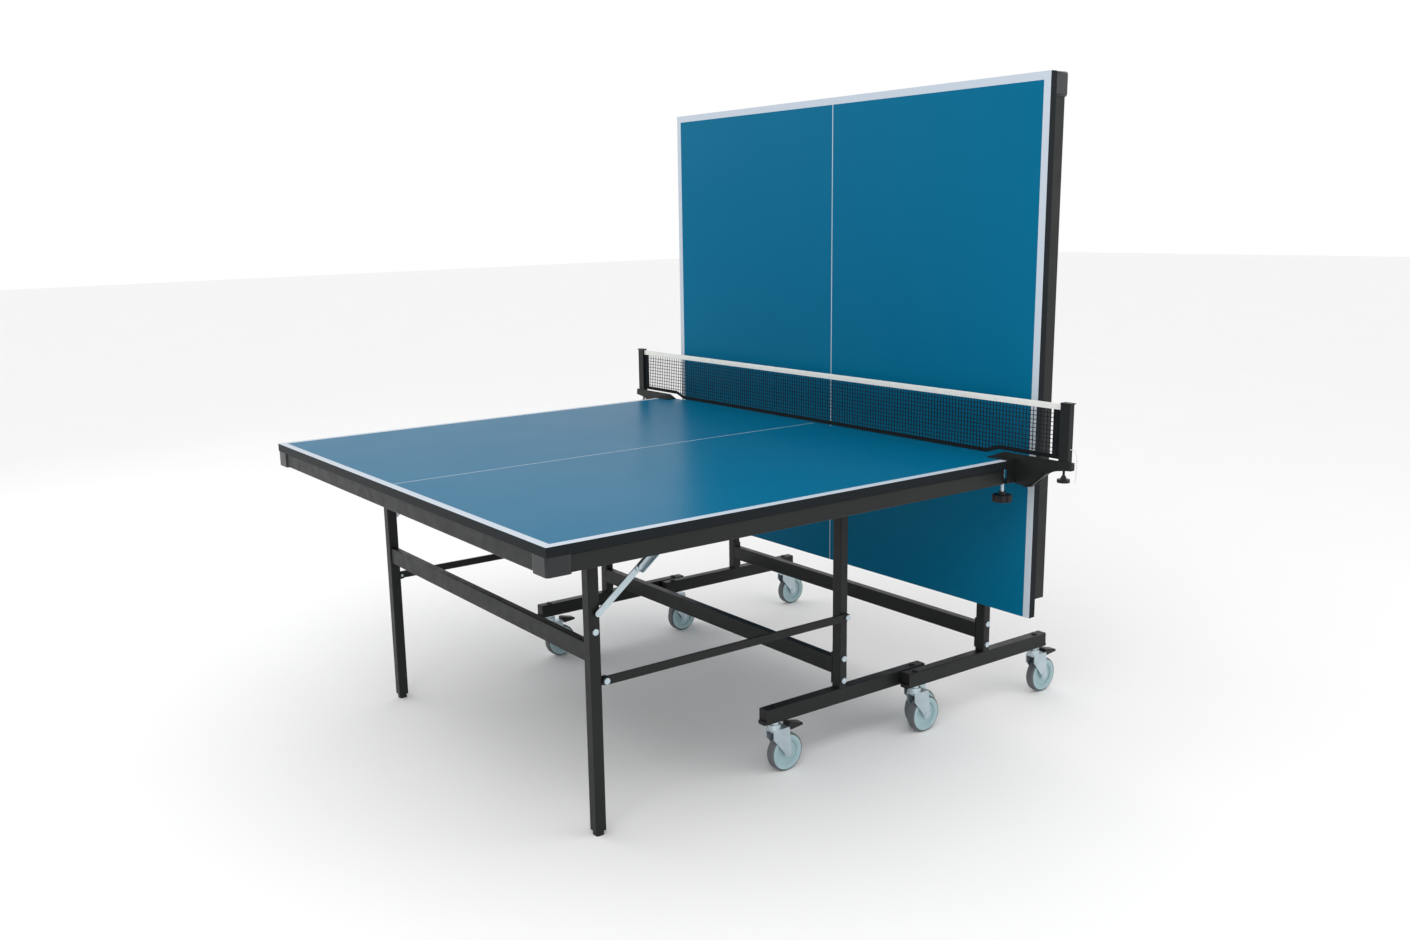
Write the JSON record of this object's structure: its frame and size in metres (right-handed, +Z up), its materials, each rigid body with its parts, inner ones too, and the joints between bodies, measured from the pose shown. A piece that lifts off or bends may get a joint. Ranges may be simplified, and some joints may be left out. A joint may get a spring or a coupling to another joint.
{
  "type": "folding table tennis table",
  "caption": "Folding table tennis table on two wheeled trolleys, one half flat for play and one half upright, with a clamp-on net.",
  "frame": {"origin": "on the floor, at the middle of the box of the whole table without its free cord", "axes": "+Z up, X along the table with the flat half at -X, Y along the net"},
  "size_m": [1.7888, 1.8669, 1.696],
  "materials": {
    "table_blue": "satin",
    "frame_black": "satin",
    "cap_grey": "satin",
    "black_plastic": "matte",
    "zinc": "satin",
    "wheel_grey": "satin",
    "net_mesh": "matte",
    "net_tape": "matte",
    "cord_white": "matte"
  },
  "bodies": {
    "trolley_a": {"floor_beams_a": "frame_black", "posts_a": "frame_black", "cross_tube_a": "frame_black", "beam_caps_a": "black_plastic", "trolley_bolts_a": "zinc"},
    "top_a": {"tabletop_a": "table_blue", "apron_a": "frame_black", "top_ribs_a": "frame_black", "corner_caps_a": "cap_grey", "net_brackets": "frame_black", "net_posts": "frame_black", "net_mesh": "net_mesh", "net_tape": "net_tape", "cord_clip": "black_plastic", "tension_cord": "cord_white"},
    "legs_a": {"legs_a": "frame_black", "leg_crossbar_a": "frame_black", "leg_feet_a": "black_plastic", "leg_bolts_a": "zinc"},
    "struts_a": {"struts_a": "frame_black"},
    "brace_lower_a": {"brace_lower_a": "zinc"},
    "brace_upper_a": {"brace_upper_a": "zinc"},
    "trolley_b": {"floor_beams_b": "frame_black", "posts_b": "frame_black", "cross_tube_b": "frame_black", "beam_caps_b": "black_plastic", "trolley_bolts_b": "zinc"},
    "top_b": {"tabletop_b": "table_blue", "apron_b": "frame_black", "top_ribs_b": "frame_black", "corner_caps_b": "cap_grey"},
    "legs_b": {"legs_b": "frame_black", "leg_crossbar_b": "frame_black", "leg_feet_b": "black_plastic", "leg_bolts_b": "zinc"},
    "struts_b": {"struts_b": "frame_black"},
    "brace_lower_b": {"brace_lower_b": "zinc"},
    "brace_upper_b": {"brace_upper_b": "zinc"},
    "clamp_screw_near": {"clamp_screw_near": "black_plastic"},
    "clamp_screw_far": {"clamp_screw_far": "black_plastic"},
    "fork_a_inner_near": {"fork_a_inner_near": "zinc"},
    "wheel_a_inner_near": {"wheel_a_inner_near": "wheel_grey"},
    "fork_a_inner_far": {"fork_a_inner_far": "zinc"},
    "wheel_a_inner_far": {"wheel_a_inner_far": "wheel_grey"},
    "fork_a_outer_near": {"fork_a_outer_near": "zinc"},
    "wheel_a_outer_near": {"wheel_a_outer_near": "wheel_grey"},
    "brake_pedal_a_outer_near": {"brake_pedal_a_outer_near": "black_plastic"},
    "fork_a_outer_far": {"fork_a_outer_far": "zinc"},
    "wheel_a_outer_far": {"wheel_a_outer_far": "wheel_grey"},
    "brake_pedal_a_outer_far": {"brake_pedal_a_outer_far": "black_plastic"},
    "fork_b_inner_near": {"fork_b_inner_near": "zinc"},
    "wheel_b_inner_near": {"wheel_b_inner_near": "wheel_grey"},
    "fork_b_inner_far": {"fork_b_inner_far": "zinc"},
    "wheel_b_inner_far": {"wheel_b_inner_far": "wheel_grey"},
    "fork_b_outer_near": {"fork_b_outer_near": "zinc"},
    "wheel_b_outer_near": {"wheel_b_outer_near": "wheel_grey"},
    "brake_pedal_b_outer_near": {"brake_pedal_b_outer_near": "black_plastic"},
    "fork_b_outer_far": {"fork_b_outer_far": "zinc"},
    "wheel_b_outer_far": {"wheel_b_outer_far": "wheel_grey"},
    "brake_pedal_b_outer_far": {"brake_pedal_b_outer_far": "black_plastic"}
  },
  "joints": [
    {"name": "trolley_b_roll", "type": "slide", "parent": "trolley_a", "child": "trolley_b", "axis": [1, 0, 0], "range_m": [0, 0.37799]},
    {"name": "tilt_a", "type": "hinge", "parent": "trolley_a", "child": "top_a", "pos_m": [0.0876, 0, 0.714], "axis": [0, 1, 0], "range_deg": [0, 90]},
    {"name": "legs_a_fold", "type": "hinge", "parent": "top_a", "child": "legs_a", "pos_m": [-0.6404, 0, 0.714], "axis": [0, -1, 0], "range_deg": [0, 90]},
    {"name": "struts_a_swing", "type": "hinge", "parent": "trolley_a", "child": "struts_a", "pos_m": [0.0926, 0, 0.368], "axis": [0, 1, 0], "range_deg": [0, 90]},
    {"name": "brace_upper_a_fold", "type": "hinge", "parent": "top_a", "child": "brace_upper_a", "pos_m": [-0.4124, 0, 0.72], "axis": [0, -1, 0], "range_deg": [0, 34.29]},
    {"name": "brace_lower_a_fold", "type": "hinge", "parent": "legs_a", "child": "brace_lower_a", "pos_m": [-0.6544, 0, 0.53], "axis": [0, 1, 0], "range_deg": [0, 220.91]},
    {"name": "tilt_b", "type": "hinge", "parent": "trolley_b", "child": "top_b", "pos_m": [0.5879, 0, 0.714], "axis": [0, 1, 0], "range_deg": [0, 90]},
    {"name": "legs_b_fold", "type": "hinge", "parent": "top_b", "child": "legs_b", "pos_m": [0.5879, 0, 1.442], "axis": [0, -1, 0], "range_deg": [0, 90]},
    {"name": "struts_b_swing", "type": "hinge", "parent": "trolley_b", "child": "struts_b", "pos_m": [0.5829, 0, 0.368], "axis": [0, 1, 0], "range_deg": [0, 90]},
    {"name": "brace_upper_b_fold", "type": "hinge", "parent": "top_b", "child": "brace_upper_b", "pos_m": [0.5819, 0, 1.214], "axis": [0, -1, 0], "range_deg": [0, 34.29]},
    {"name": "brace_lower_b_fold", "type": "hinge", "parent": "legs_b", "child": "brace_lower_b", "pos_m": [0.6019, 0, 1.258], "axis": [0, 1, 0], "range_deg": [0, 220.91]},
    {"name": "swivel_a_inner_near", "type": "hinge", "parent": "trolley_a", "child": "fork_a_inner_near", "pos_m": [0.3521, -0.533, 0.125], "axis": [0, 0, 1], "range_deg": [0, 180]},
    {"name": "spin_a_inner_near", "type": "hinge", "parent": "fork_a_inner_near", "child": "wheel_a_inner_near", "pos_m": [0.3871, -0.533, 0.05], "axis": [0, 1, 0], "continuous": true},
    {"name": "swivel_a_inner_far", "type": "hinge", "parent": "trolley_a", "child": "fork_a_inner_far", "pos_m": [0.3521, 0.571, 0.125], "axis": [0, 0, 1], "range_deg": [0, 180]},
    {"name": "spin_a_inner_far", "type": "hinge", "parent": "fork_a_inner_far", "child": "wheel_a_inner_far", "pos_m": [0.3871, 0.571, 0.05], "axis": [0, 1, 0], "continuous": true},
    {"name": "swivel_a_outer_near", "type": "hinge", "parent": "trolley_a", "child": "fork_a_outer_near", "pos_m": [-0.1329, -0.533, 0.125], "axis": [0, 0, 1], "continuous": true},
    {"name": "spin_a_outer_near", "type": "hinge", "parent": "fork_a_outer_near", "child": "wheel_a_outer_near", "pos_m": [-0.0979, -0.533, 0.05], "axis": [0, 1, 0], "continuous": true},
    {"name": "brake_a_outer_near", "type": "hinge", "parent": "fork_a_outer_near", "child": "brake_pedal_a_outer_near", "pos_m": [-0.0929, -0.533, 0.119], "axis": [0, 1, 0], "range_deg": [0, 8]},
    {"name": "swivel_a_outer_far", "type": "hinge", "parent": "trolley_a", "child": "fork_a_outer_far", "pos_m": [-0.1329, 0.571, 0.125], "axis": [0, 0, 1], "continuous": true},
    {"name": "spin_a_outer_far", "type": "hinge", "parent": "fork_a_outer_far", "child": "wheel_a_outer_far", "pos_m": [-0.0979, 0.571, 0.05], "axis": [0, 1, 0], "continuous": true},
    {"name": "brake_a_outer_far", "type": "hinge", "parent": "fork_a_outer_far", "child": "brake_pedal_a_outer_far", "pos_m": [-0.0929, 0.571, 0.119], "axis": [0, 1, 0], "range_deg": [0, 8]},
    {"name": "swivel_b_inner_far", "type": "hinge", "parent": "trolley_b", "child": "fork_b_inner_far", "pos_m": [0.3234, 0.533, 0.125], "axis": [0, 0, -1], "range_deg": [0, 180]},
    {"name": "spin_b_inner_far", "type": "hinge", "parent": "fork_b_inner_far", "child": "wheel_b_inner_far", "pos_m": [0.3584, 0.533, 0.05], "axis": [0, 1, 0], "continuous": true},
    {"name": "swivel_b_inner_near", "type": "hinge", "parent": "trolley_b", "child": "fork_b_inner_near", "pos_m": [0.3234, -0.571, 0.125], "axis": [0, 0, -1], "range_deg": [0, 180]},
    {"name": "spin_b_inner_near", "type": "hinge", "parent": "fork_b_inner_near", "child": "wheel_b_inner_near", "pos_m": [0.3584, -0.571, 0.05], "axis": [0, 1, 0], "continuous": true},
    {"name": "swivel_b_outer_far", "type": "hinge", "parent": "trolley_b", "child": "fork_b_outer_far", "pos_m": [0.8084, 0.533, 0.125], "axis": [0, 0, 1], "continuous": true},
    {"name": "spin_b_outer_far", "type": "hinge", "parent": "fork_b_outer_far", "child": "wheel_b_outer_far", "pos_m": [0.8434, 0.533, 0.05], "axis": [0, 1, 0], "continuous": true},
    {"name": "brake_b_outer_far", "type": "hinge", "parent": "fork_b_outer_far", "child": "brake_pedal_b_outer_far", "pos_m": [0.8484, 0.533, 0.119], "axis": [0, 1, 0], "range_deg": [0, 8]},
    {"name": "swivel_b_outer_near", "type": "hinge", "parent": "trolley_b", "child": "fork_b_outer_near", "pos_m": [0.8084, -0.571, 0.125], "axis": [0, 0, 1], "continuous": true},
    {"name": "spin_b_outer_near", "type": "hinge", "parent": "fork_b_outer_near", "child": "wheel_b_outer_near", "pos_m": [0.8434, -0.571, 0.05], "axis": [0, 1, 0], "continuous": true},
    {"name": "brake_b_outer_near", "type": "hinge", "parent": "fork_b_outer_near", "child": "brake_pedal_b_outer_near", "pos_m": [0.8484, -0.571, 0.119], "axis": [0, 1, 0], "range_deg": [0, 8]},
    {"name": "clamp_near_turn", "type": "hinge", "parent": "top_a", "child": "clamp_screw_near", "pos_m": [0.4486, -0.738, 0.66], "axis": [0, 0, 1], "range_deg": [0, 360]},
    {"name": "clamp_far_turn", "type": "hinge", "parent": "top_a", "child": "clamp_screw_far", "pos_m": [0.4486, 0.738, 0.66], "axis": [0, 0, 1], "range_deg": [0, 360]}
  ],
  "couplings": [
    {"joint": "legs_a_fold", "follows": "tilt_a", "ratio": 1},
    {"joint": "struts_a_swing", "follows": "tilt_a", "ratio": 1},
    {"joint": "brace_upper_a_fold", "follows": "tilt_a", "ratio": 0.38088},
    {"joint": "brace_lower_a_fold", "follows": "tilt_a", "ratio": 2.454},
    {"joint": "legs_b_fold", "follows": "tilt_b", "ratio": 1},
    {"joint": "struts_b_swing", "follows": "tilt_b", "ratio": 1},
    {"joint": "brace_upper_b_fold", "follows": "tilt_b", "ratio": 0.38088},
    {"joint": "brace_lower_b_fold", "follows": "tilt_b", "ratio": 2.454},
    {"joint": "trolley_b_roll", "follows": "tilt_b", "m_per_rad": 0.24}
  ]
}
